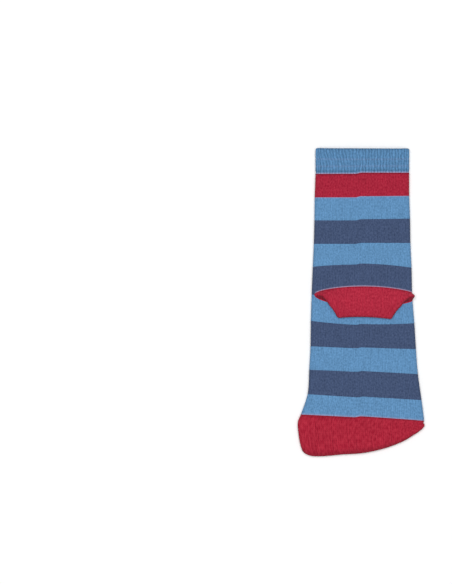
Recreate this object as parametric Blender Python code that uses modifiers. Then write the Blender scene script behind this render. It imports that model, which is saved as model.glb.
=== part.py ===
"""A child's striped knitted sock, lying flat with its sole face up and its heel pocket folded
down over the sole.

The sock is a flattened tube. Every point of it is placed by two numbers: round, the share of the
way round the tube from its left fold over the sole face and back under the instep face, and
along, the distance in metres down the tube from the mouth. +X is to the right of the sock as it
lies, +Y towards the mouth and +Z up. The origin is on the surface that it rests on, under the
middle of its outline.
"""

import math

import bmesh
import bpy
from mathutils import Vector

# Flat widths and lengths along the tube
CUFF_WIDTH = 0.0750
TOE_WIDTH = 0.1017
CUFF_HEIGHT = 0.0203
STRIPE_HEIGHT = 0.0192
TOE_LENGTH = 0.0312

# Knitted walls, and how far the two faces stand apart
WALL = 0.0012
CUFF_WALL = 0.0018
HEEL_WALL = 0.0011
HOLLOW_AT_FOLDS = 0.0032
HOLLOW_CROWN = 0.0022

# Ribs of the cuff
RIB_COUNT = 66
RIB_DEPTH = 0.0004

# Heel pocket: its mouth in the sole face, and the flap that it folds down into
HEEL_MOUTH_RISE = 0.0064
HEEL_MOUTH_SAG = 0.0084
HEEL_FLAP_WIDTH = 0.0410
HEEL_FLAP_OFFSET = 0.0013
HEEL_FLAP_DROP = 0.0172
HEEL_FLAP_HOLLOW = 0.0012
HEEL_TIP_INSET = 0.0021
HEEL_TIP_WRAP = 0.0018

# Gap between neighbouring pieces
GAP = 0.0003

# Colours of the three yarns, in linear light, and their roughness
YARNS = {
    "light_blue": (0.112, 0.262, 0.468),
    "navy": (0.053, 0.082, 0.159),
    "red": (0.372, 0.018, 0.042),
}
YARN_ROUGHNESS = 0.9

# Each stripe from the cuff to the toe: its node, its yarn and its height as a share of
# STRIPE_HEIGHT.
STRIPES = [
    ("leg_red", "red", 0.97),
    ("leg_light_1", "light_blue", 0.95),
    ("leg_dark_1", "navy", 1.00),
    ("leg_light_2", "light_blue", 0.99),
    ("leg_dark_2", "navy", 1.17),
    ("foot_light_1", "light_blue", 1.11),
    ("foot_dark_1", "navy", 1.07),
    ("foot_light_2", "light_blue", 1.01),
    ("foot_dark_2", "navy", 1.05),
    ("foot_light_3", "light_blue", 0.85),
]
LEG_STRIPES = 5

# The tube's shape at the mouth, at the foot of the cuff and at the foot of each stripe.
# left_flare and right_flare: how far that edge stands out past the cuff's, as a share of
# TOE_WIDTH - CUFF_WIDTH. left_drop and right_drop: how far the knitted row lies nearer the toe
# at that edge, and sole_bow and instep_bow: how far it does in the middle of each face, as shares
# of STRIPE_HEIGHT. loft: how far the faces stand apart, as a share of the two hollow sizes.
SECTION_COLUMNS = (
    "left_flare",
    "right_flare",
    "left_drop",
    "right_drop",
    "sole_bow",
    "instep_bow",
    "loft",
)
SECTIONS = [
    (0.000, 0.000, 0.000, 0.015, 0.045, 0.000, 1.45),
    (0.003, 0.000, 0.012, -0.012, 0.000, 0.010, 1.22),
    (0.025, 0.002, 0.020, -0.020, 0.010, 0.020, 1.05),
    (0.034, 0.025, 0.025, -0.025, 0.015, 0.035, 1.00),
    (0.052, 0.037, 0.005, -0.005, 0.000, 0.040, 1.00),
    (0.083, 0.071, -0.030, 0.030, -0.130, 0.000, 1.00),
    (0.117, 0.092, -0.030, 0.030, 0.000, -0.030, 1.00),
    (0.142, 0.156, -0.062, 0.062, 0.105, -0.060, 1.00),
    (0.153, 0.205, -0.072, 0.072, 0.010, -0.080, 1.00),
    (0.191, 0.265, -0.105, 0.105, -0.015, -0.095, 1.00),
    (0.239, 0.375, -0.135, 0.135, 0.000, -0.120, 1.00),
    (0.439, 0.451, -0.145, 0.145, -0.030, -0.100, 0.96),
]

# The toe's shape between its top row and its closed end. share: of TOE_CHORD, the way to the
# chord of the end. The drops and the bow are shares of TOE_LENGTH, and the bow is the same on
# both faces. bow_power: 1 for a shallow bow, 0.5 for a half ellipse.
TOE_CHORD = 0.538
TOE_COLUMNS = (
    "share",
    "left_flare",
    "right_flare",
    "left_drop",
    "right_drop",
    "bow",
    "bow_power",
    "loft",
)
TOE_SECTIONS = [
    (0.235, 0.522, 0.458, -0.031, 0.021, 0.038, 0.85, 0.94),
    (0.536, 0.525, 0.463, 0.090, -0.095, 0.154, 0.68, 0.90),
    (0.816, 0.472, 0.457, 0.208, -0.210, 0.282, 0.56, 0.86),
    (1.000, 0.406, 0.439, 0.288, -0.288, 0.351, 0.50, 0.82),
]

# The edge at which the heel pocket folds back under itself. outward: the share of the way from
# the flap's bottom corner out to the mouth's tip. drop: how far below the tips, as a share of
# HEEL_FLAP_DROP.
FLAP_EDGE = [
    (0.00, 1.00),
    (0.06, 0.93),
    (0.14, 0.78),
    (0.24, 0.62),
    (0.38, 0.45),
    (0.48, 0.29),
    (0.60, 0.18),
    (0.72, 0.07),
    (1.00, 0.00),
]
FLAP_END_BOW = 0.13
# Share of the mouth's width, from each tip, over which the folds of the flap die away
FLAP_FADE = 0.14
# The least share of the mouth's height that the upper sheet runs level for, and the share that
# the lip under the flap takes
FLAP_SHOULDER = 0.60
FLAP_LIP = 0.08

# How finely the faceted solids are divided
POINTS_IN_FOLD = 4
POINTS_IN_FACE = 14
POINTS_IN_RIB = 2
SPANS_IN_STRIPE = 2
SPANS_BY_HEEL = 4
SPANS_IN_TOE = 6
SPANS_IN_TOE_END = 4
SPANS_ACROSS_HEEL = 20
SPANS_IN_HEEL_SHEET = 5
SPANS_IN_FLAP_FOLD = 6
SPANS_IN_LIP_FOLD = 4

SPREAD = TOE_WIDTH - CUFF_WIDTH


def smoothstep(share):
    """0 to 1 with level ends, for a share that may lie outside 0 to 1."""
    held = min(1.0, max(0.0, share))
    return held * held * (3.0 - 2.0 * held)


def smooth_between(stations, values, at):
    """The value at a station, on a smooth curve through the given ones."""
    if at <= stations[0]:
        return values[0]
    if at >= stations[-1]:
        return values[-1]
    i = max(k for k, station in enumerate(stations[:-1]) if station <= at)

    def slope(k):
        low, high = max(0, k - 1), min(len(stations) - 1, k + 1)
        return (values[high] - values[low]) / (stations[high] - stations[low])

    length = stations[i + 1] - stations[i]
    t = (at - stations[i]) / length
    rest = 1.0 - t
    return (
        values[i] * (1.0 + 2.0 * t) * rest * rest
        + values[i + 1] * (3.0 - 2.0 * t) * t * t
        + slope(i) * length * t * rest * rest
        - slope(i + 1) * length * t * t * rest
    )


def stripe_edges():
    """The distance from the mouth to the foot of the cuff and then to the foot of each stripe."""
    edges = [CUFF_HEIGHT]
    for _, _, share in STRIPES:
        edges.append(edges[-1] + share * STRIPE_HEIGHT)
    return edges


EDGES = stripe_edges()
HEEL_AT = EDGES[LEG_STRIPES]
TOE_AT = EDGES[-1]
END_AT = TOE_AT + TOE_CHORD * TOE_LENGTH


def section_table():
    """Every section of the tube in metres, as {column: values}, with its station under along."""
    rows = []
    for along, shares in zip([0.0, *EDGES], SECTIONS):
        row = dict(zip(SECTION_COLUMNS, shares))
        for column in ("left_drop", "right_drop", "sole_bow", "instep_bow"):
            row[column] *= STRIPE_HEIGHT
        rows.append({"along": along, "bow_power": 1.0, **row})
    for shares in TOE_SECTIONS:
        row = dict(zip(TOE_COLUMNS, shares))
        for column in ("left_drop", "right_drop", "bow"):
            row[column] *= TOE_LENGTH
        row["along"] = TOE_AT + row.pop("share") * (END_AT - TOE_AT)
        row["sole_bow"] = row["instep_bow"] = row.pop("bow")
        rows.append(row)
    for row in rows:
        row["left"] = -CUFF_WIDTH / 2 - row.pop("left_flare") * SPREAD
        row["right"] = CUFF_WIDTH / 2 + row.pop("right_flare") * SPREAD
    return {column: [row[column] for row in rows] for column in rows[0]}


TABLE = section_table()


def section_at(along):
    """The tube's shape at a distance from the mouth: sizes in metres by name."""
    found = {
        column: smooth_between(TABLE["along"], values, along)
        for column, values in TABLE.items()
        if column != "along"
    }
    found["radius"] = WALL + found["loft"] * HOLLOW_AT_FOLDS / 2
    found["crown"] = found["loft"] * HOLLOW_CROWN
    closing = END_AT - found["radius"]
    past = min(1.0, max(0.0, (along - closing) / found["radius"]))
    found["height_left"] = math.sqrt(1.0 - past * past)
    return found


def tube_point(round_share, along, inset=0.0):
    """A point of the tube's outer face, or inset from it by a depth into the wall."""
    shape = section_at(along)
    half = (shape["right"] - shape["left"]) / 2
    middle = (shape["right"] + shape["left"]) / 2
    radius = shape["radius"]
    flat = half - radius
    quarter = math.pi / 2 * radius
    face = 2 * (quarter + flat)
    share = round_share % 1.0
    on_sole = share <= 0.5
    walked = (share if on_sole else 1.0 - share) * 2 * face
    reach = radius - inset
    if walked < quarter:
        angle = walked / radius
        x, z = -flat - reach * math.cos(angle), reach * math.sin(angle)
    elif walked > face - quarter:
        angle = (face - walked) / radius
        x, z = flat + reach * math.cos(angle), reach * math.sin(angle)
    else:
        x, z = walked - quarter - flat, reach
    across = max(-1.0, min(1.0, x / half))
    if on_sole:
        z += shape["crown"] * max(0.0, 1.0 - (x / flat) ** 2)
    else:
        z = -z
    bow = shape["sole_bow"] if on_sole else shape["instep_bow"]
    drop = (
        shape["left_drop"] * (1.0 - across) / 2
        + shape["right_drop"] * (1.0 + across) / 2
        + bow * (1.0 - across * across) ** shape["bow_power"]
    )
    return Vector((middle + x, -along - drop, shape["radius"] + z * shape["height_left"]))


def fold_share(inward):
    """The share of the way round from a side fold's edge to a depth inward from it, at the heel."""
    turn = math.acos(max(-1.0, 1.0 - inward / HEEL_SECTION["radius"]))
    return turn * HEEL_SECTION["radius"] / HEEL_GIRTH


HEEL_SECTION = section_at(HEEL_AT)
HEEL_QUARTER = math.pi / 2 * HEEL_SECTION["radius"]
HEEL_FLAT = HEEL_SECTION["right"] - HEEL_SECTION["left"] - 2 * HEEL_SECTION["radius"]
HEEL_GIRTH = 4 * HEEL_QUARTER + 2 * HEEL_FLAT
LEFT_TIP = fold_share(HEEL_TIP_INSET)
RIGHT_TIP = 0.5 + fold_share(HEEL_TIP_WRAP)
FLAP_MIDDLE = 0.25 + HEEL_FLAP_OFFSET / HEEL_GIRTH


def heel_across(round_share):
    """The share of the way across the heel's mouth, from its left tip to its right one."""
    return (round_share - LEFT_TIP) / (RIGHT_TIP - LEFT_TIP)


def heel_mouth(round_share):
    """How open the heel's mouth is there: 0 at its tips and beyond them, 1 in its middle."""
    off_middle = 2.0 * heel_across(round_share) - 1.0
    return math.sqrt(max(0.0, 1.0 - off_middle * off_middle))


def above_heel(round_share):
    """The row where the leg ends, which arches up over the heel's mouth."""
    return HEEL_AT - HEEL_MOUTH_RISE * heel_mouth(round_share)


def below_heel(round_share):
    """The row where the foot starts, which sags down under the heel's mouth."""
    return HEEL_AT + HEEL_MOUTH_SAG * heel_mouth(round_share)


def level(along):
    """A row at the same distance from the mouth all the way round."""
    return lambda round_share: along


def flap_edge(round_share):
    """How far down the tube the heel pocket folds back under itself there."""
    off_middle = (round_share - FLAP_MIDDLE) * HEEL_GIRTH
    tip = RIGHT_TIP if off_middle > 0.0 else LEFT_TIP
    half = HEEL_FLAP_WIDTH / 2
    outward = (abs(off_middle) - half) / (abs(tip - FLAP_MIDDLE) * HEEL_GIRTH - half)
    if outward < 0.0:
        drop = 1.0 - FLAP_END_BOW * (1.0 - (off_middle / half) ** 2)
    else:
        stations, drops = zip(*FLAP_EDGE)
        drop = smooth_between(stations, drops, outward)
    return HEEL_AT + HEEL_FLAP_DROP * drop


def flap_slant(round_share):
    """How much longer a fold's bend is down the tube than square to the fold's own line."""
    step = 0.01
    fall = flap_edge(round_share + step) - flap_edge(round_share - step)
    return math.hypot(1.0, fall / (2.0 * step * HEEL_GIRTH))


def heel_profile(round_share):
    """The heel's outer face from the leg's row, over the flap's fold and back to the foot's row.

    Each point is (along, height above the tube's outer face).
    """
    from_tip = min(heel_across(round_share), 1.0 - heel_across(round_share))
    raised = smoothstep(from_tip / FLAP_FADE)
    clear = GAP / 2 + GAP * (1.0 - raised)
    top = above_heel(round_share) + clear
    foot = below_heel(round_share) - clear
    bend = HEEL_WALL + HEEL_FLAP_HOLLOW / 2
    lip_bend = GAP / 2
    height = raised * 2 * (bend + lip_bend)
    slant = flap_slant(round_share)
    shoulder = max(flap_edge(round_share) - bend * slant, top + FLAP_SHOULDER * (foot - top))
    lip = foot - FLAP_LIP * (foot - top)
    crest = min(shoulder, lip - bend)
    run = (lip - shoulder) / slant
    rise = height - bend - lip_bend
    turn = math.atan2(rise, run) + math.asin(min(1.0, (bend + lip_bend) / math.hypot(run, rise)))
    points = []
    for k in range(SPANS_IN_HEEL_SHEET):
        share = k / SPANS_IN_HEEL_SHEET
        points.append((top + share * (crest - top), height * smoothstep(share)))
    for k in range(SPANS_IN_FLAP_FOLD + 1):
        angle = turn * k / SPANS_IN_FLAP_FOLD
        along = shoulder + bend * math.sin(angle) * slant
        points.append((along, height - bend * (1.0 - math.cos(angle))))
    for k in range(SPANS_IN_LIP_FOLD + 1):
        angle = turn * (1.0 - k / SPANS_IN_LIP_FOLD)
        along = lip - lip_bend * math.sin(angle) * slant
        points.append((along, lip_bend * (1.0 - math.cos(angle))))
    points.append((foot, 0.0))
    folded = min(1.0, 3.0 * raised)
    even = [top + (foot - top) * k / (len(points) - 1) for k in range(len(points))]
    return [
        (folded * along + (1.0 - folded) * plain, folded * rise)
        for (along, rise), plain in zip(points, even)
    ]


def inside_of(profile, slant):
    """The heel's inner face, one wall's thickness in from each point of its outer face."""
    inner = []
    for k, (along, height) in enumerate(profile):
        before, after = profile[max(0, k - 1)], profile[min(len(profile) - 1, k + 1)]
        ahead, up = (after[0] - before[0]) / slant, after[1] - before[1]
        if k in (0, len(profile) - 1):
            ahead, up = 1.0, 0.0
        length = math.hypot(ahead, up)
        inner.append((along + HEEL_WALL * slant * up / length, height - HEEL_WALL * ahead / length))
    return inner


def plain_rounds():
    """Shares of the way round, close together in the folds and wide apart on the faces."""
    fold = HEEL_QUARTER / HEEL_GIRTH
    shares = [fold * k / POINTS_IN_FOLD for k in range(POINTS_IN_FOLD)]
    shares += [fold + (0.5 - 2 * fold) * k / POINTS_IN_FACE for k in range(POINTS_IN_FACE)]
    shares += [0.5 - fold + fold * k / POINTS_IN_FOLD for k in range(POINTS_IN_FOLD)]
    return shares + [0.5 + share for share in shares]


def heel_rounds():
    """Shares across the heel's mouth, closer together towards its tips."""
    turns = [math.pi * k / SPANS_ACROSS_HEEL for k in range(SPANS_ACROSS_HEEL + 1)]
    return [LEFT_TIP + (RIGHT_TIP - LEFT_TIP) * (1.0 - math.cos(turn)) / 2 for turn in turns]


def rounds_by_heel():
    """Shares of the way round that meet the heel's, and are the plain ones elsewhere."""
    clear = 0.2 / len(plain_rounds())
    outside = [
        share for share in plain_rounds() if share < LEFT_TIP - clear or share > RIGHT_TIP + clear
    ]
    return sorted(outside + heel_rounds())


def loft(rows, closed_round=True, closed_rows=False):
    """A mesh of quads between rows of as many points each, facing out of the tube."""
    shape = bmesh.new()
    lines = [[shape.verts.new(point) for point in row] for row in rows]
    pairs = list(zip(lines, lines[1:]))
    if closed_rows:
        pairs.append((lines[-1], lines[0]))
    for upper, lower in pairs:
        for k in range(len(upper) if closed_round else len(upper) - 1):
            after = (k + 1) % len(upper)
            shape.faces.new((upper[k], lower[k], lower[after], upper[after]))
    bmesh.ops.remove_doubles(shape, verts=shape.verts, dist=1e-6)
    return shape


def add_node(name, shape, yarn):
    """The finished mesh as an object of its own, smooth-shaded and in its yarn's colour."""
    mesh = bpy.data.meshes.new(name)
    shape.to_mesh(mesh)
    shape.free()
    mesh.shade_smooth()
    mesh.materials.append(yarn_material(yarn))
    node = bpy.data.objects.new(name, mesh)
    SOCK.objects.link(node)
    node.location = MIDDLE_TO_ORIGIN
    return node


def add_wall(node, thickness):
    """Gives an open surface the thickness of a knitted wall, inwards."""
    wall = node.modifiers.new("Wall", "SOLIDIFY")
    wall.thickness = thickness
    wall.offset = -1.0
    wall.use_even_offset = False


def yarn_material(yarn):
    """The yarn's material, made once."""
    found = bpy.data.materials.get(yarn)
    if found:
        return found
    material = bpy.data.materials.new(yarn)
    material.use_nodes = True
    surface = material.node_tree.nodes["Principled BSDF"]
    surface.inputs["Base Color"].default_value = (*YARNS[yarn], 1.0)
    surface.inputs["Roughness"].default_value = YARN_ROUGHNESS
    surface.inputs["Metallic"].default_value = 0.0
    return material


def make_stripe(name, yarn, start, end, shares, spans):
    """One striped stretch of the tube, between two rows given as functions of the way round."""
    rows = []
    for k in range(spans + 1):
        row = []
        for share in shares:
            low, high = start(share) + GAP / 2, end(share) - GAP / 2
            row.append(tube_point(share, low + (high - low) * k / spans))
        rows.append(row)
    node = add_node(name, loft(rows), yarn)
    add_wall(node, WALL)


def make_stripes():
    """The leg's and the foot's stripes, which part at the heel's mouth."""
    for k, (name, yarn, _) in enumerate(STRIPES):
        start = below_heel if k == LEG_STRIPES else level(EDGES[k])
        end = above_heel if k == LEG_STRIPES - 1 else level(EDGES[k + 1])
        if k in (LEG_STRIPES - 1, LEG_STRIPES):
            make_stripe(name, yarn, start, end, rounds_by_heel(), SPANS_BY_HEEL)
        else:
            make_stripe(name, yarn, start, end, plain_rounds(), SPANS_IN_STRIPE)


def make_cuff():
    """The ribbed double cuff: a closed profile, rounded over at the mouth, all the way round."""
    points = RIB_COUNT * POINTS_IN_RIB
    lip = CUFF_WALL / 2
    foot = CUFF_HEIGHT - GAP / 2
    profile = [
        (foot, CUFF_WALL, 0.0),
        (lip, CUFF_WALL, 0.0),
        (lip * 0.3, lip * 1.7, 0.0),
        (0.0, lip, 0.0),
        (lip * 0.3, lip * 0.3, 0.6),
        (lip, 0.0, 1.0),
        (foot / 2, 0.0, 1.0),
        (foot, 0.0, 1.0),
    ]
    rows = []
    for along, depth, ribbed in profile:
        row = []
        for k in range(points):
            wave = 0.5 - 0.5 * math.cos(2 * math.pi * k / POINTS_IN_RIB)
            row.append(tube_point(k / points, along, depth + RIB_DEPTH * wave * ribbed))
        rows.append(row)
    add_node("cuff_rib", loft(rows, closed_rows=True), "light_blue")


def make_toe():
    """The toe cap: open at its top row and closed along its slanting end."""
    closing = END_AT - section_at(END_AT)["radius"]
    start = TOE_AT + GAP / 2
    stations = [start + (closing - start) * k / SPANS_IN_TOE for k in range(SPANS_IN_TOE + 1)]
    for k in range(1, SPANS_IN_TOE_END + 1):
        turn = math.pi / 2 * k / SPANS_IN_TOE_END
        stations.append(closing + (END_AT - closing) * math.sin(turn))
    rows = [[tube_point(share, along) for share in plain_rounds()] for along in stations]
    node = add_node("toe_cap", loft(rows), "red")
    add_wall(node, WALL)


def make_heel():
    """The heel pocket as one folded sheet, open to the inside of the tube along its mouth."""
    rows = []
    for share in heel_rounds()[1:-1]:
        outer = heel_profile(share)
        loop = outer + inside_of(outer, flap_slant(share))[::-1]
        rows.append([tube_point(share, along, -height) for along, height in loop])
    shape = loft(rows[::-1])
    shape.verts.ensure_lookup_table()
    last = len(rows[0]) - 1
    for first, flip in ((0, False), (len(shape.verts) - last - 1, True)):
        for k in range(last // 2):
            corners = [shape.verts[first + n] for n in (k, k + 1, last - k - 1, last - k)]
            shape.faces.new(corners[::-1] if flip else corners)
    bmesh.ops.recalc_face_normals(shape, faces=shape.faces)
    add_node("heel_pocket", shape, "red")


def outline_middle():
    """The middle of the sock's outline, worked out from points along its edge."""
    steps = 400
    points = []
    for k in range(steps + 1):
        points.append(tube_point(0.0, END_AT * k / steps))
        points.append(tube_point(0.5, END_AT * k / steps))
        points.append(tube_point(k / steps, END_AT))
        points.append(tube_point(k / steps, 0.0))
    xs, ys = [point.x for point in points], [point.y for point in points]
    return Vector(((min(xs) + max(xs)) / 2, (min(ys) + max(ys)) / 2, 0.0))


for old in list(bpy.data.objects):
    bpy.data.objects.remove(old)
SOCK = bpy.data.collections.new("sock")
bpy.context.scene.collection.children.link(SOCK)
MIDDLE_TO_ORIGIN = -outline_middle()
make_cuff()
make_stripes()
make_heel()
make_toe()
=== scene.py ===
"""Looks of a child's striped knitted sock, lying flat with its sole face up and its heel pocket
folded down over the sole.

A point of the sock is placed by two numbers: round, the share of the way round the flattened tube
from its left fold over the sole face and back under the instep face, and along, the distance in
metres down the tube from the mouth. Lengths come from the frame's boxes.
"""

import math

import bmesh
import bpy
import numpy as np
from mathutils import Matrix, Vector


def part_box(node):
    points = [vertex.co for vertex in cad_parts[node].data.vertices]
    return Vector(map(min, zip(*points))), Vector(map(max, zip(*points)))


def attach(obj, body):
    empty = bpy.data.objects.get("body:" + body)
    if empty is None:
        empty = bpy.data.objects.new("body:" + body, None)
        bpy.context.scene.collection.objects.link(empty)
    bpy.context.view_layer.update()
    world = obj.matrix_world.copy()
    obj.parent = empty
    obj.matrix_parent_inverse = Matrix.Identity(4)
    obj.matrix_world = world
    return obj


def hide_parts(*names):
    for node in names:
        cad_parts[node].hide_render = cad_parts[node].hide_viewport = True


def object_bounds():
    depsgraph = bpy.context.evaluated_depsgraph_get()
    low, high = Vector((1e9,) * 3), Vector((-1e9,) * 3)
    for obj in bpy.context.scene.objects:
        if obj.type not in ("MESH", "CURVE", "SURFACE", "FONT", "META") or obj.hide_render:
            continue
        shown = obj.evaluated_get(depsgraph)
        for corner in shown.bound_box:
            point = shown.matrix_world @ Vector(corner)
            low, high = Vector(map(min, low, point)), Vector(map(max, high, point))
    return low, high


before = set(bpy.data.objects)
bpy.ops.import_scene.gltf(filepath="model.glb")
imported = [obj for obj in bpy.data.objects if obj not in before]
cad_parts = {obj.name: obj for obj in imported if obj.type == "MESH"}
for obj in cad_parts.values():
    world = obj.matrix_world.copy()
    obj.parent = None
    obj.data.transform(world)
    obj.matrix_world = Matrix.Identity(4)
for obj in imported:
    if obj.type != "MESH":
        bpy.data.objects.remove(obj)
CAD_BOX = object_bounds()


def size_of(node, axis):
    """A node's extent along an axis, in metres."""
    low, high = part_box(node)
    return high[axis] - low[axis]


# Sizes from the frame
LOW, HIGH = CAD_BOX
CUFF_WIDTH = size_of("cuff_rib", 0)
TOE_WIDTH = HIGH[0] - LOW[0]
LENGTH = HIGH[1] - LOW[1]
SPREAD = TOE_WIDTH - CUFF_WIDTH
MIDDLE_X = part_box("cuff_rib")[0][0] + CUFF_WIDTH / 2
MOUTH_Y = HIGH[1]
DEPTH = size_of("leg_light_2", 2)
CUFF_HEIGHT = 0.0823 * LENGTH
STRIPE_HEIGHT = 0.0779 * LENGTH
TOE_LENGTH = 0.1266 * LENGTH

# The knit: wales round the tube, the height of a course, and how deep the grooves lie between
# two wales and beside every second one
WALES = 132
COURSE = 0.00082
WALE_DEPTH = 0.00014
PAIR_DEPTH = 0.00006
WALL = 0.0012
HEEL_WALL = 0.0011
HOLLOW_AT_FOLDS = 0.41 * DEPTH
HOLLOW_CROWN = 0.28 * DEPTH

# The cuff's ribs, the rounded corners of its mouth, and where its ribs lean and it is drawn in
RIBS = 66
RIB_DEPTH = 0.00075
CUFF_WALL = 0.0018
MOUTH_CORNER = 0.0013
RIB_LEAN = 0.0024
TENSION_LINES = (0.0083, 0.0141)

# The cuff's inner ribs as a share of its outer ones, how far it is drawn in on the tension lines
# and where it is sewn to the leg
INNER_RIBS = 0.7
TENSION_DEPTH = 0.00012
SEWN_DEPTH = 0.00030

# How deep the sole face's softest dents are, and how strongly and how wide painted shade darkens
# the yarn along the pressed side folds
SOFT_DENT = 0.00009
FOLD_PAINTED_SHADE = 0.16
FOLD_SHADE_WIDTH = 0.0016

# A stripe spirals down by one course round the tube and steps back up in the sole face's middle
JOG = 1.1 * COURSE
JOG_AT = 0.245
JOG_WIDTH = 0.030

# Mesh fineness: points round the tube, and the distance between rows
ROUND = WALES * 4
ROW_STEP = 0.0005
INNER_ROWS = 6

# Each stripe from the cuff to the toe: node, yarn and height as a share of STRIPE_HEIGHT
STRIPES = [
    ("leg_red", "red", 0.97),
    ("leg_light_1", "light_blue", 0.95),
    ("leg_dark_1", "navy", 1.00),
    ("leg_light_2", "light_blue", 0.99),
    ("leg_dark_2", "navy", 1.17),
    ("foot_light_1", "light_blue", 1.11),
    ("foot_dark_1", "navy", 1.07),
    ("foot_light_2", "light_blue", 1.01),
    ("foot_dark_2", "navy", 1.05),
    ("foot_light_3", "light_blue", 0.85),
]
LEG_STRIPES = 5

# The tube's shape at the mouth and at the foot of the cuff and of each stripe. The flares are
# shares of SPREAD, the drops and bows shares of STRIPE_HEIGHT, and loft is how far the two faces
# stand apart, as a share of the two hollow sizes.
SECTION_COLUMNS = (
    "left_flare",
    "right_flare",
    "left_drop",
    "right_drop",
    "sole_bow",
    "instep_bow",
    "loft",
)
SECTIONS = [
    (0.000, 0.000, 0.000, 0.015, 0.045, 0.000, 1.45),
    (0.003, 0.000, 0.012, -0.012, 0.000, 0.010, 1.22),
    (0.025, 0.002, 0.020, -0.020, 0.010, 0.020, 1.05),
    (0.034, 0.025, 0.025, -0.025, 0.015, 0.035, 1.00),
    (0.052, 0.037, 0.005, -0.005, 0.000, 0.040, 1.00),
    (0.083, 0.071, -0.030, 0.030, -0.130, 0.000, 1.00),
    (0.117, 0.092, -0.030, 0.030, 0.000, -0.030, 1.00),
    (0.142, 0.156, -0.062, 0.062, 0.105, -0.060, 1.00),
    (0.153, 0.205, -0.072, 0.072, 0.010, -0.080, 1.00),
    (0.191, 0.265, -0.105, 0.105, -0.015, -0.095, 1.00),
    (0.239, 0.375, -0.135, 0.135, 0.000, -0.120, 1.00),
    (0.439, 0.451, -0.145, 0.145, -0.030, -0.100, 0.96),
]

# The toe between its top row and its closed end, TOE_CHORD of TOE_LENGTH down. edge is the share
# of the end's own shape that a row has taken on.
TOE_CHORD = 0.460
TOE_COLUMNS = ("share", "left_flare", "right_flare", "edge", "loft")
TOE_SECTIONS = [
    (0.235, 0.537, 0.430, 0.20, 0.94),
    (0.536, 0.521, 0.466, 0.48, 0.90),
    (0.816, 0.468, 0.460, 0.79, 0.86),
    (1.000, 0.397, 0.465, 1.00, 0.82),
]
# The closed end from the left fold, -1, to the right one, 1: how far it drops below TOE_CHORD,
# as a share of TOE_LENGTH
TOE_EDGE = [
    (-1.00, 0.395),
    (-0.95, 0.469),
    (-0.85, 0.528),
    (-0.65, 0.533),
    (-0.35, 0.492),
    (0.00, 0.453),
    (0.35, 0.331),
    (0.65, 0.151),
    (0.85, -0.038),
    (0.95, -0.151),
    (1.00, -0.237),
]
# The seam that closes the toe, under the instep, as a share of the way down to the end
SEAM_SHARE = 0.62
SEAM_HEIGHT = 0.00025
SEAM_WIDTH = 0.0007

# Heel pocket: its mouth in the sole face and the flap that it folds down into
HEEL_RISE = 0.333 * STRIPE_HEIGHT
HEEL_SAG = 0.438 * STRIPE_HEIGHT
FLAP_WIDTH = 2.135 * STRIPE_HEIGHT
FLAP_OFFSET = 0.068 * STRIPE_HEIGHT
FLAP_DROP = 0.896 * STRIPE_HEIGHT
FLAP_HOLLOW = 0.0012
TIP_INSET = 0.109 * STRIPE_HEIGHT
TIP_WRAP = 0.094 * STRIPE_HEIGHT
LIP_GAP = 0.0003
# The edge at which the pocket folds back under itself. outward: the share of the way from the
# flap's bottom corner out to the mouth's tip. drop: the share of FLAP_DROP below the tips.
FLAP_EDGE = [
    (0.00, 1.00),
    (0.06, 0.93),
    (0.14, 0.78),
    (0.24, 0.62),
    (0.38, 0.45),
    (0.48, 0.29),
    (0.60, 0.18),
    (0.72, 0.07),
    (1.00, 0.00),
]
FLAP_END_BOW = 0.09
FLAP_FADE = 0.09
FLAP_SHOULDER = 0.40
FLAP_LIP = 0.08
# The flap's two short dents above its bottom corners: for each one its distance from the flap's
# middle and its lean, and for both how far down they lie and how deep, wide and long they are
CORNER_DENTS = ((-0.0195, 0.35), (0.0175, -0.35))
DENT_DOWN = 0.0105
DENT_DEPTH = 0.00035
DENT_WIDTH = 0.0016
DENT_LENGTH = 0.003

# Yarn colours in linear light, and the pale floats that show between two yarns
COLOURS = {
    "light_blue": (0.112, 0.262, 0.468),
    "navy": (0.0545, 0.0823, 0.162),
    "red": (0.366, 0.0176, 0.042),
    "cuff": (0.100, 0.240, 0.430),
    "heel": (0.425, 0.0225, 0.050),
    "toe": (0.382, 0.018, 0.040),
    "pale": (0.440, 0.350, 0.520),
}

# Where the sock lies in the photograph, in its pixels, and the size of one pixel
PHOTO_SIZE = (452, 584)
SOCK_MIDDLE = (361.3, 302.1)
PIXEL = LENGTH / 308.2
LENS_MM = 200.0
SENSOR_MM = 36.0


def smoothstep(share):
    """0 to 1 with level ends, for shares that may lie outside 0 to 1."""
    held = np.clip(share, 0.0, 1.0)
    return held * held * (3.0 - 2.0 * held)


def bump_at(value, middle, width):
    """A smooth bump of height 1 at the middle."""
    return np.exp(-(((value - middle) / width) ** 2))


def smooth_between(stations, values, at):
    """The values at some stations, on a smooth curve through the given ones."""
    stations = np.asarray(stations, float)
    values = np.asarray(values, float)
    last = len(stations) - 1
    low = np.maximum(np.arange(last + 1) - 1, 0)
    high = np.minimum(np.arange(last + 1) + 1, last)
    slopes = (values[high] - values[low]) / (stations[high] - stations[low])
    i = np.clip(np.searchsorted(stations, at, side="right") - 1, 0, last - 1)
    length = stations[i + 1] - stations[i]
    t = np.clip((at - stations[i]) / length, 0.0, 1.0)
    rest = 1.0 - t
    return (
        values[i] * (1.0 + 2.0 * t) * rest * rest
        + values[i + 1] * (3.0 - 2.0 * t) * t * t
        + slopes[i] * length * t * rest * rest
        - slopes[i + 1] * length * t * t * rest
    )


def stripe_edges():
    """The distance from the mouth to the foot of the cuff and then to the foot of each stripe."""
    edges = [CUFF_HEIGHT]
    for _, _, share in STRIPES:
        edges.append(edges[-1] + share * STRIPE_HEIGHT)
    return edges


EDGES = stripe_edges()
HEEL_AT = EDGES[LEG_STRIPES]
TOE_AT = EDGES[-1]
END_AT = TOE_AT + TOE_CHORD * TOE_LENGTH


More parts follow.
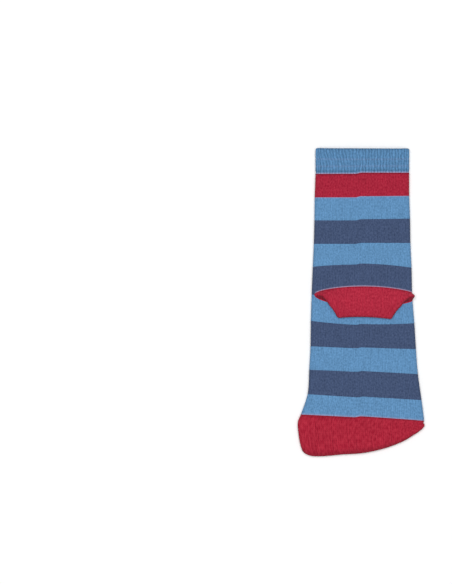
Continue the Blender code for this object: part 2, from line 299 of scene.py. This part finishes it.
def section_table():
    """Every section of the tube in metres, as {column: values}, with its station under along."""
    drops = ("left_drop", "right_drop", "sole_bow", "instep_bow")
    rows = []
    for along, shares in zip([0.0, *EDGES], SECTIONS):
        row = dict(zip(SECTION_COLUMNS, shares))
        for column in drops:
            row[column] *= STRIPE_HEIGHT
        rows.append({"along": along, "edge": 0.0, **row})
    toe_top = rows[-1]
    for shares in TOE_SECTIONS:
        row = dict(zip(TOE_COLUMNS, shares))
        row["along"] = TOE_AT + row.pop("share") * (END_AT - TOE_AT)
        for column in drops:
            row[column] = toe_top[column] * (1.0 - row["edge"])
        rows.append(row)
    for row in rows:
        row["left"] = -CUFF_WIDTH / 2 - row.pop("left_flare") * SPREAD
        row["right"] = CUFF_WIDTH / 2 + row.pop("right_flare") * SPREAD
    return {column: [row[column] for row in rows] for column in rows[0]}


TABLE = section_table()


def section_at(along):
    """The tube's shape at distances from the mouth: sizes in metres by name."""
    found = {
        column: smooth_between(TABLE["along"], values, along)
        for column, values in TABLE.items()
        if column != "along"
    }
    corner = np.clip((MOUTH_CORNER - along) / MOUTH_CORNER, 0.0, 1.0)
    pulled_in = MOUTH_CORNER * (1.0 - np.sqrt(1.0 - corner * corner))
    found["left"] = found["left"] + pulled_in
    found["right"] = found["right"] - pulled_in
    found["radius"] = WALL + found["loft"] * HOLLOW_AT_FOLDS / 2
    found["crown"] = found["loft"] * HOLLOW_CROWN
    past = np.clip((along - END_AT + found["radius"]) / found["radius"], 0.0, 1.0)
    found["height_left"] = np.sqrt(1.0 - past * past)
    return found


def tube_points(share, along, inset=0.0):
    """Points of the tube's outer face, or inset from it by a depth into the wall."""
    share, along, inset = np.broadcast_arrays(share, along, inset)
    shape = section_at(along)
    half = (shape["right"] - shape["left"]) / 2
    middle = (shape["right"] + shape["left"]) / 2
    radius = shape["radius"]
    flat = half - radius
    quarter = math.pi / 2 * radius
    face = 2 * (quarter + flat)
    turned = np.mod(share, 1.0)
    on_sole = turned <= 0.5
    walked = np.where(on_sole, turned, 1.0 - turned) * 2 * face
    reach = radius - inset
    left_angle = walked / radius
    right_angle = (face - walked) / radius
    in_left = walked < quarter
    in_right = walked > face - quarter
    x = walked - quarter - flat
    x = np.where(in_left, -flat - reach * np.cos(left_angle), x)
    x = np.where(in_right, flat + reach * np.cos(right_angle), x)
    z = np.where(in_left, reach * np.sin(left_angle), reach)
    z = np.where(in_right, reach * np.sin(right_angle), z)
    across = np.clip(x / half, -1.0, 1.0)
    crown = shape["crown"] * np.maximum(0.0, 1.0 - (x / flat) ** 2)
    z = np.where(on_sole, z + crown, -z)
    bow = np.where(on_sole, shape["sole_bow"], shape["instep_bow"])
    drop = (
        shape["left_drop"] * (1.0 - across) / 2
        + shape["right_drop"] * (1.0 + across) / 2
        + bow * (1.0 - across * across)
        + shape["edge"] * TOE_LENGTH * smooth_between(*zip(*TOE_EDGE), across)
    )
    y = MOUTH_Y - along - drop
    return np.stack((MIDDLE_X + middle + x, y, shape["radius"] + z * shape["height_left"]), axis=-1)


def heel_facts():
    """The tube's girth at the heel and the places of the mouth's tips and the flap's middle."""
    shape = section_at(np.array(HEEL_AT))
    radius = float(shape["radius"])
    girth = 2 * math.pi * radius + 2 * (float(shape["right"] - shape["left"]) - 2 * radius)

    def fold_share(inward):
        return math.acos(max(-1.0, 1.0 - inward / radius)) * radius / girth

    return girth, fold_share(TIP_INSET), 0.5 + fold_share(TIP_WRAP), 0.25 + FLAP_OFFSET / girth


HEEL_GIRTH, LEFT_TIP, RIGHT_TIP, FLAP_MIDDLE = heel_facts()


def heel_across(share):
    """The share of the way across the heel's mouth, from its left tip to its right one."""
    return (share - LEFT_TIP) / (RIGHT_TIP - LEFT_TIP)


def heel_mouth(share):
    """How open the heel's mouth is: 0 at its tips and beyond them, 1 in its middle."""
    off_middle = 2.0 * heel_across(share) - 1.0
    return np.sqrt(np.maximum(0.0, 1.0 - off_middle * off_middle))


def jogged(along):
    """A row between two yarns: it spirals down by one course round the tube, then steps up."""

    def row(share):
        from_jog = np.mod(share - JOG_AT, 1.0)
        return along + JOG * (from_jog * smoothstep((1.0 - from_jog) / JOG_WIDTH) - 0.5)

    return row


def above_heel(share):
    """The row where the leg ends, which arches up over the heel's mouth."""
    return HEEL_AT - HEEL_RISE * heel_mouth(share)


def below_heel(share):
    """The row where the foot starts, which sags down under the heel's mouth."""
    return HEEL_AT + HEEL_SAG * heel_mouth(share)


def flap_edge(share):
    """How far down the tube the heel pocket folds back under itself."""
    off_middle = (share - FLAP_MIDDLE) * HEEL_GIRTH
    half = FLAP_WIDTH / 2
    reach = np.where(off_middle > 0.0, RIGHT_TIP - FLAP_MIDDLE, FLAP_MIDDLE - LEFT_TIP) * HEEL_GIRTH
    outward = (np.abs(off_middle) - half) / (reach - half)
    inside = 1.0 - FLAP_END_BOW * (1.0 - (off_middle / half) ** 2)
    outside = smooth_between(*zip(*FLAP_EDGE), outward)
    return HEEL_AT + FLAP_DROP * np.where(outward < 0.0, inside, outside)


def wale_relief(share):
    """How deep the grooves between the knit's wales lie, every second one a little deeper."""
    groove = 1.0 - np.abs(np.sin(math.pi * share * WALES))
    pair = 0.5 + 0.5 * np.cos(math.pi * share * WALES)
    return WALE_DEPTH * groove + PAIR_DEPTH * pair


def soft_relief(share, along):
    """How far the sole face sinks in its softest dents."""
    turn = share * 2 * math.pi
    dents = (
        np.sin(turn * 3 + along * 61 + 0.6)
        + 0.8 * np.sin(turn * 7 - along * 97 + 2.1)
        + 0.6 * np.sin(turn * 12 + along * 143 + 4.0)
    )
    on_sole = smoothstep(share / 0.06) * smoothstep((0.5 - share) / 0.06)
    return SOFT_DENT * (dents + 2.4) * on_sole


def fold_painted_shade(share):
    """How much painted shade darkens the yarn along the pressed side folds, where the surface turns
    away from the light.
    """
    off_fold = np.abs(np.mod(share + 0.25, 0.5) - 0.25) * (CUFF_WIDTH + TOE_WIDTH)
    return FOLD_PAINTED_SHADE * bump_at(off_fold, 0.0, FOLD_SHADE_WIDTH)


def grid_mesh(name, points, uv, closed_round, closed_rows, merge=0.0):
    """A mesh of quads over rows of points. uv holds the knit's wale and course, and the pale floats
    and painted shade.
    """
    rows, cols = points.shape[:2]
    r = np.arange(rows if closed_rows else rows - 1)
    c = np.arange(cols if closed_round else cols - 1)
    r, c = (a.ravel() for a in np.meshgrid(r, c, indexing="ij"))
    r2, c2 = (r + 1) % rows, (c + 1) % cols
    faces = np.stack((r * cols + c, r2 * cols + c, r2 * cols + c2, r * cols + c2), axis=1)
    mesh = bpy.data.meshes.new(name)
    mesh.from_pydata(points.reshape(-1, 3).tolist(), [], faces.tolist())
    past_start = np.zeros(faces.shape, bool)
    past_start[:, 2] = past_start[:, 3] = c2 < c
    for layer, values in uv.items():
        corners = values.reshape(-1, 2)[faces.ravel()].copy()
        if layer == "knit":
            corners[past_start.ravel(), 0] += WALES
        made = mesh.uv_layers.new(name=layer)
        made.data.foreach_set("uv", corners.astype(np.float32).ravel())
    if merge:
        shape = bmesh.new()
        shape.from_mesh(mesh)
        bmesh.ops.remove_doubles(shape, verts=shape.verts, dist=merge)
        bmesh.ops.dissolve_degenerate(shape, edges=shape.edges, dist=merge)
        bmesh.ops.recalc_face_normals(shape, faces=shape.faces)
        shape.to_mesh(mesh)
        shape.free()
    mesh.shade_smooth()
    mesh.set_sharp_from_angle(angle=math.radians(62))
    return mesh


def add_piece(node, mesh, material):
    """The finished piece, which stands for its node and takes its yarn's finish."""
    piece = bpy.data.objects.new(node + "_knit", mesh)
    bpy.context.scene.collection.objects.link(piece)
    mesh.materials.append(material)
    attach(piece, "root")
    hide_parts(node)
    return piece


def knit_uv(share, along, pale, painted_shade):
    """The knit's coordinates, how far each point is marked with pale floats, and how far painted
    shade darkens it.
    """
    share, along, pale, painted_shade = np.broadcast_arrays(share, along, pale, painted_shade)
    return {
        "knit": np.stack((share * WALES, along / COURSE), axis=-1),
        "marks": np.stack((pale, painted_shade), axis=-1),
    }


def make_stripe(k, node, yarn):
    """One stripe of the leg or the foot, its wall open at both ends to its neighbours."""
    share = np.arange(ROUND) / ROUND
    start = (below_heel if k == LEG_STRIPES else jogged(EDGES[k]))(share)
    end = (above_heel if k == LEG_STRIPES - 1 else jogged(EDGES[k + 1]))(share)
    rows = int(round(float(np.max(end - start)) / ROW_STEP)) + 1
    ways = np.concatenate((np.linspace(0.0, 1.0, rows), np.linspace(1.0, 0.0, INNER_ROWS)))
    along = start + (end - start) * ways[:, None]
    outside = (np.arange(len(ways)) < rows)[:, None]
    relief = wale_relief(share) + soft_relief(share, along)
    points = tube_points(share, along, np.where(outside, relief, WALL))

    from_start = (along - start) / COURSE
    from_end = (end - along) / COURSE
    pale = 0.0 * along
    # Painted shade along the side folds and, a little, in each stripe's last course
    painted_shade = fold_painted_shade(share) + 0.05 * bump_at(from_end, 0.0, 0.9)
    # Painted shade in the red stripe's first course, below the groove where the cuff is sewn on
    if k == 0:
        painted_shade = painted_shade + 0.45 * bump_at(from_start, 0.3, 1.0)
    if k == 1:
        pale = 0.30 * bump_at(from_start, 0.0, 0.8)
    if k == LEG_STRIPES - 1:
        pale = 0.95 * bump_at(from_end, 0.0, 0.62) * smoothstep(heel_mouth(share) / 0.3)
    if k == len(STRIPES) - 1:
        pale = 0.42 * bump_at(from_end, 0.0, 0.9)
    uv = knit_uv(share, along, pale, painted_shade)
    mesh = grid_mesh(node + "_knit", points, uv, True, True)
    add_piece(node, mesh, YARN_MATERIALS[yarn])


def rib_lean(share, along):
    """How far the cuff's ribs are pushed over, in shares of the way round."""
    upper_left = smoothstep(share / 0.03) * smoothstep((0.25 - share) / 0.12)
    lean = RIB_LEAN * upper_left * smoothstep((0.0150 - along) / 0.0150)
    waver = 0.00022 * np.sin(along * 900 + share * 75) + 0.00018 * np.sin(along * 480 - share * 190)
    return (lean + waver) / (2 * CUFF_WIDTH)


def make_cuff():
    """The ribbed double cuff, rounded over at the mouth and open through to the leg."""
    share = np.arange(ROUND) / ROUND
    foot = jogged(EDGES[0])(share)
    lip = CUFF_WALL / 2
    turns = np.linspace(math.pi / 2, -math.pi / 2, 11)[1:-1, None]
    inner = lip + (foot - lip) * np.linspace(1.0, 0.0, 22)[:, None]
    over = lip - lip * np.cos(turns) + 0.0 * share
    outer = lip + (foot - lip) * np.linspace(0.0, 1.0, 44)[:, None]
    along = np.concatenate((inner, over, outer))
    shares = np.broadcast_to(share, along.shape)
    ribbed = shares + rib_lean(shares, along)
    ribs = RIB_DEPTH * (0.5 - 0.5 * np.cos(2 * math.pi * ribbed * RIBS)) ** 0.8
    from_foot = (foot - along) / COURSE

    inner_inset = CUFF_WALL - INNER_RIBS * ribs
    side = np.sin(turns)
    over_inset = lip * (1 + side) + ribs[len(inner):-len(outer)] * np.where(
        side > 0, -INNER_RIBS * side, -side
    )
    drawn_in = sum(TENSION_DEPTH * bump_at(along, at, 0.0005) for at in TENSION_LINES)
    sewn = SEWN_DEPTH * smoothstep((3.2 - from_foot) / 1.2)
    outer_inset = ribs * (1.0 - 0.6 * smoothstep((2.4 - from_foot) / 1.4)) + drawn_in + sewn
    outer_inset = outer_inset + soft_relief(shares, along)
    inset = np.concatenate((inner_inset[: len(inner)], over_inset, outer_inset[-len(outer):]))
    points = tube_points(shares, along, inset)

    pale = 0.78 * bump_at(from_foot, 0.0, 0.85)
    pale = pale + sum(0.10 * bump_at(along, at + 0.0004, 0.0006) for at in TENSION_LINES)
    # Painted shade along the side folds, in the courses just above the sewn groove, and round the
    # mouth's rounded edge
    painted_shade = fold_painted_shade(shares) + 0.22 * bump_at(from_foot, 2.3, 1.2)
    painted_shade = painted_shade + 0.22 * bump_at(along, 0.0, 0.0011)
    uv = knit_uv(ribbed, along, pale, painted_shade)
    mesh = grid_mesh("cuff_rib_knit", points, uv, True, True)
    add_piece("cuff_rib", mesh, YARN_MATERIALS["cuff"])


def make_toe():
    """The toe cap, closed along its slanting end, with its closing seam under the instep."""
    share = np.arange(ROUND) / ROUND
    start = jogged(EDGES[-1])(share)
    radius = float(section_at(np.array(END_AT))["radius"])
    closing = END_AT - radius
    body = start + (closing - start) * np.linspace(0.0, 1.0, 34)[:, None]
    turns = np.linspace(0.0, math.pi / 2, 12)[1:, None]
    along = np.concatenate((body, closing + radius * np.sin(turns) + 0.0 * share))
    shares = np.broadcast_to(share, along.shape)
    left = np.clip((END_AT - along) / radius, 0.0, 1.0)
    seam_at = TOE_AT + SEAM_SHARE * (END_AT - TOE_AT)
    seam = bump_at(along, seam_at, SEAM_WIDTH) * smoothstep((shares - 0.5) / 0.02)
    seam = seam * smoothstep((1.0 - shares) / 0.02)
    relief = (wale_relief(shares) + soft_relief(shares, along)) * left - SEAM_HEIGHT * seam
    points = tube_points(shares, along, relief)

    from_start = (along - start) / COURSE
    # Painted shade along the side folds, in the toe's first course, along the closing seam's groove
    # and round the closed end
    painted_shade = fold_painted_shade(shares) + 0.30 * bump_at(from_start, 0.3, 0.9) + 0.12 * seam
    painted_shade = painted_shade + 0.22 * (1.0 - smoothstep(left / 1.2))
    uv = knit_uv(shares, along, 0.0, painted_shade)
    mesh = grid_mesh("toe_cap_knit", points, uv, True, False, merge=1e-7)
    piece = add_piece("toe_cap", mesh, YARN_MATERIALS["toe"])
    wall = piece.modifiers.new("Wall", "SOLIDIFY")
    wall.thickness = WALL
    wall.offset = -1.0
    wall.use_even_offset = False


def heel_profiles(share):
    """The heel's outer face over each share: along, height above the tube, slant and part.

    part counts 0 to 1 down the upper sheet, 1 to 2 round its fold and 2 to 3 to the foot's row.
    """
    from_tip = np.minimum(heel_across(share), 1.0 - heel_across(share))
    raised = smoothstep(from_tip / FLAP_FADE)
    top, foot = above_heel(share), below_heel(share)
    bend = HEEL_WALL + FLAP_HOLLOW / 2
    lip_bend = LIP_GAP / 2
    height = raised * 2 * (bend + lip_bend)
    step = 0.004
    fall = flap_edge(share + step) - flap_edge(share - step)
    slant = np.hypot(1.0, fall / (2.0 * step * HEEL_GIRTH))
    shoulder = np.maximum(flap_edge(share) - bend * slant, top + FLAP_SHOULDER * (foot - top))
    lip = foot - FLAP_LIP * (foot - top)
    crest = np.minimum(shoulder, lip - bend)
    run = (lip - shoulder) / slant
    rise = height - bend - lip_bend
    apart = np.maximum(np.hypot(run, rise), 1e-9)
    turn = np.arctan2(rise, run) + np.arcsin(np.minimum(1.0, (bend + lip_bend) / apart))

    sheet = np.linspace(0.0, 1.0, 31)[:-1, None]
    flat = np.linspace(0.0, 1.0, 13)[:-1, None]
    fold = np.linspace(0.0, 1.0, 17)[:, None]
    back = np.linspace(1.0, 0.0, 11)[:, None]
    rest = np.linspace(0.0, 1.0, 4)[1:, None]
    along = np.concatenate(
        (
            top + sheet * (crest - top),
            crest + flat * (shoulder - crest),
            shoulder + bend * np.sin(turn * fold) * slant,
            lip - lip_bend * np.sin(turn * back) * slant,
            lip + rest * (foot - lip),
        )
    )
    heights = np.concatenate(
        (
            height * smoothstep(sheet),
            height + 0.0 * flat,
            height - bend * (1.0 - np.cos(turn * fold)),
            lip_bend * (1.0 - np.cos(turn * back)),
            0.0 * rest * foot,
        )
    )
    part = np.concatenate(
        (
            sheet * 0.8,
            0.8 + flat * 0.2,
            1.0 + fold,
            2.9 - 0.9 * back,
            2.9 + rest * 0.1,
        )
    )
    even = top + (foot - top) * np.linspace(0.0, 1.0, len(along))[:, None]
    folded = np.minimum(1.0, 3.0 * raised)
    along = folded * along + (1.0 - folded) * even
    return along, folded * heights, slant, part + 0.0 * along


def make_heel():
    """The heel pocket: one folded sheet, open to the inside of the tube along its mouth."""
    first = int(math.floor(LEFT_TIP * ROUND))
    last = int(math.ceil(RIGHT_TIP * ROUND))
    share = np.arange(first, last + 1) / ROUND
    along, height, slant, part = heel_profiles(share)
    ahead = np.gradient(along, axis=0) / slant
    up = np.gradient(height, axis=0)
    length = np.maximum(np.hypot(ahead, up), 1e-9)
    ahead, up = ahead / length, up / length
    ahead[0], up[0], ahead[-1], up[-1] = 1.0, 0.0, 1.0, 0.0
    path = np.concatenate((np.zeros((1, len(share))), np.cumsum(length[:-1], axis=0)))
    edge = smoothstep(np.minimum(path, path[-1] - path) / 0.0012)
    x = (share - FLAP_MIDDLE) * HEEL_GIRTH
    dented = bump_at(along, HEEL_AT + DENT_DOWN, DENT_LENGTH)
    dents = sum(
        DENT_DEPTH * bump_at(x - lean * (along - HEEL_AT), at, DENT_WIDTH) * dented
        for at, lean in CORNER_DENTS
    )
    sunk = (wale_relief(share) * (0.3 + 0.7 * edge) + dents * (part < 1.0)) * edge
    outer_along = along + sunk * slant * up
    outer_height = height - sunk * ahead
    inner_along = along + HEEL_WALL * slant * up
    inner_height = height - HEEL_WALL * ahead
    all_along = np.concatenate((outer_along, inner_along[::-1]))
    all_height = np.concatenate((outer_height, inner_height[::-1]))
    points = tube_points(share, all_along, -all_height)

    # Painted shade: the first course below the arc, the flap's rounded fold edge, and the pocket's
    # under layer in the wings, shadowed by the fold above it
    painted_shade = 0.30 * bump_at(path / COURSE, 0.4, 0.9) + 0.22 * bump_at(part, 1.3, 0.35)
    painted_shade = painted_shade + 0.50 * smoothstep((part - 1.35) / 0.5) * smoothstep((3.05 - part) / 0.35)
    courses = np.concatenate((path, path[::-1]))
    uv = knit_uv(share, courses, 0.0, np.concatenate((painted_shade, painted_shade[::-1])))
    mesh = grid_mesh("heel_pocket_knit", points, uv, False, True, merge=1e-6)
    add_piece("heel_pocket", mesh, YARN_MATERIALS["heel"])


def knit_material(name, colour, rib=False):
    """A heathered knitted yarn: stitches, fibre flecks, streaks down the wales, matt fuzz, and
    painted shade darkening the colour in the grooves and wherever the marks call for it.
    """
    material = bpy.data.materials.new(name)
    material.use_nodes = True
    tree = material.node_tree
    nodes, links = tree.nodes, tree.links
    surface = nodes["Principled BSDF"]
    surface.inputs["Roughness"].default_value = 0.95
    surface.inputs["Specular IOR Level"].default_value = 0.08
    surface.inputs["Sheen Weight"].default_value = 0.04
    surface.inputs["Sheen Roughness"].default_value = 0.5

    def math_node(operation, a, b=None, c=None):
        node = nodes.new("ShaderNodeMath")
        node.operation = operation
        for socket, value in zip(node.inputs, (a, b, c)):
            if isinstance(value, (int, float)):
                socket.default_value = value
            elif value is not None:
                links.new(value, socket)
        return node.outputs[0]

    def noise(per_wale, per_course, detail, seed):
        stretch = nodes.new("ShaderNodeMapping")
        stretch.inputs["Scale"].default_value = (per_wale, per_course, 1.0)
        stretch.inputs["Location"].default_value = (seed, seed * 1.7, 0.0)
        links.new(knit.outputs["UV"], stretch.inputs["Vector"])
        texture = nodes.new("ShaderNodeTexNoise")
        texture.inputs["Scale"].default_value = 1.0
        texture.inputs["Detail"].default_value = detail
        links.new(stretch.outputs[0], texture.inputs["Vector"])
        return math_node("SUBTRACT", texture.outputs["Fac"], 0.5)

    def uv_map(layer):
        node = nodes.new("ShaderNodeUVMap")
        node.uv_map = layer
        return node

    knit = uv_map("knit")
    split = nodes.new("ShaderNodeSeparateXYZ")
    links.new(knit.outputs["UV"], split.inputs[0])
    wale, course = split.outputs[0], split.outputs[1]
    marks = nodes.new("ShaderNodeSeparateXYZ")
    links.new(uv_map("marks").outputs["UV"], marks.inputs[0])
    pale, painted_shade = marks.outputs[0], marks.outputs[1]

    # Each stitch is a V: its two arms rise from the middle of the wale to the grooves beside it
    beside = math_node("ABSOLUTE", math_node("SUBTRACT", math_node("FRACT", wale), 0.5))
    arm = math_node("ADD", course, math_node("MULTIPLY", beside, 1.3))
    stitch = math_node("SINE", math_node("MULTIPLY", arm, 2 * math.pi))
    groove = math_node("POWER", math_node("MULTIPLY", beside, 2.0), 3.0)

    flecks = noise(1.15, 0.50, 2.0, 3.0)
    streaks = noise(1.3, 0.06, 1.0, 11.0)
    clouds = noise(0.12, 0.10, 2.0, 23.0)
    tone_and_painted_shade = math_node("MULTIPLY_ADD", flecks, 0.85, 1.0)
    tone_and_painted_shade = math_node("MULTIPLY_ADD", streaks, 0.38, tone_and_painted_shade)
    tone_and_painted_shade = math_node("MULTIPLY_ADD", clouds, 0.16, tone_and_painted_shade)
    # Painted shade: the grooves between the wales darken the colour
    tone_and_painted_shade = math_node("MULTIPLY_ADD", groove, -0.16, tone_and_painted_shade)
    tone_and_painted_shade = math_node("MULTIPLY_ADD", stitch, 0.06, tone_and_painted_shade)
    # Painted shade in the cuff's rib grooves, broken into dashes
    if rib:
        rib_wave = math_node("COSINE", math_node("MULTIPLY", wale, math.pi))
        dashes = math_node("MULTIPLY_ADD", noise(0.55, 0.42, 1.0, 41.0), 1.6, 0.8)
        rib_groove_painted_shade = math_node("MULTIPLY", rib_wave, dashes)
        tone_and_painted_shade = math_node("MULTIPLY_ADD", rib_groove_painted_shade, 0.22, tone_and_painted_shade)
    # The darkness from the marks is painted shade
    tone_and_painted_shade = math_node("MULTIPLY", tone_and_painted_shade, math_node("SUBTRACT", 1.0, painted_shade))

    tint = nodes.new("ShaderNodeMix")
    tint.data_type = "RGBA"
    tint.inputs["A"].default_value = (*colour, 1.0)
    tint.inputs["B"].default_value = (*COLOURS["pale"], 1.0)
    links.new(pale, tint.inputs["Factor"])
    shaded = nodes.new("ShaderNodeVectorMath")
    shaded.operation = "MULTIPLY_ADD"
    links.new(tint.outputs["Result"], shaded.inputs[0])
    links.new(tone_and_painted_shade, shaded.inputs[1])
    links.new(math_node("MULTIPLY", flecks, 0.035), shaded.inputs[2])
    links.new(shaded.outputs[0], surface.inputs["Base Color"])

    height = math_node("MULTIPLY_ADD", groove, -0.5, stitch)
    height = math_node("MULTIPLY_ADD", flecks, 1.2, height)
    bump = nodes.new("ShaderNodeBump")
    bump.inputs["Strength"].default_value = 0.5
    bump.inputs["Distance"].default_value = 0.00010
    links.new(height, bump.inputs["Height"])
    links.new(bump.outputs[0], surface.inputs["Normal"])
    return material


YARN_MATERIALS = {
    "light_blue": knit_material("knit_light_blue", COLOURS["light_blue"]),
    "navy": knit_material("knit_navy", COLOURS["navy"]),
    "red": knit_material("knit_red", COLOURS["red"]),
    "cuff": knit_material("knit_cuff", COLOURS["cuff"], rib=True),
    "heel": knit_material("knit_heel", COLOURS["heel"]),
    "toe": knit_material("knit_toe", COLOURS["toe"]),
}


def make_camera():
    """A long lens straight above, over the middle of the photograph's frame."""
    data = bpy.data.cameras.new("camera")
    data.lens = LENS_MM
    data.sensor_width = SENSOR_MM
    data.clip_end = 20.0
    camera = bpy.data.objects.new("camera", data)
    bpy.context.scene.collection.objects.link(camera)
    height = PIXEL * PHOTO_SIZE[1] * LENS_MM / SENSOR_MM
    x = (PHOTO_SIZE[0] / 2 - SOCK_MIDDLE[0]) * PIXEL
    y = (SOCK_MIDDLE[1] - PHOTO_SIZE[1] / 2) * PIXEL
    camera.location = (x, y, height + DEPTH / 2)
    bpy.context.scene.camera = camera


def make_floor():
    """A plain white floor."""
    bpy.ops.mesh.primitive_plane_add(size=12.0, location=(0.0, 0.0, LOW[2] - 0.0001))
    floor = bpy.context.object
    floor.name = "floor"
    material = bpy.data.materials.new("floor_white")
    material.use_nodes = True
    surface = material.node_tree.nodes["Principled BSDF"]
    surface.inputs["Base Color"].default_value = (0.9, 0.9, 0.9, 1.0)
    surface.inputs["Roughness"].default_value = 1.0
    surface.inputs["Specular IOR Level"].default_value = 0.0
    floor.data.materials.append(material)


def make_light(name, location, size, power):
    """A square soft light that faces the sock."""
    data = bpy.data.lights.new(name, "AREA")
    data.size = size
    data.energy = power
    light = bpy.data.objects.new(name, data)
    bpy.context.scene.collection.objects.link(light)
    light.location = location
    light.rotation_euler = light.location.to_track_quat("Z", "Y").to_euler()


def make_world():
    """A dim even white surround."""
    world = bpy.data.worlds.new("studio")
    world.use_nodes = True
    background = world.node_tree.nodes["Background"]
    background.inputs["Color"].default_value = (1.0, 1.0, 1.0, 1.0)
    background.inputs["Strength"].default_value = 0.28
    bpy.context.scene.world = world
    bpy.context.scene.view_settings.view_transform = "Standard"


make_cuff()
for index, (stripe, colour_name, _) in enumerate(STRIPES):
    make_stripe(index, stripe, colour_name)
make_heel()
make_toe()
make_floor()
make_world()
make_light("overhead", (-0.1, 0.3, 3.2), 2.4, 106.0)
make_camera()
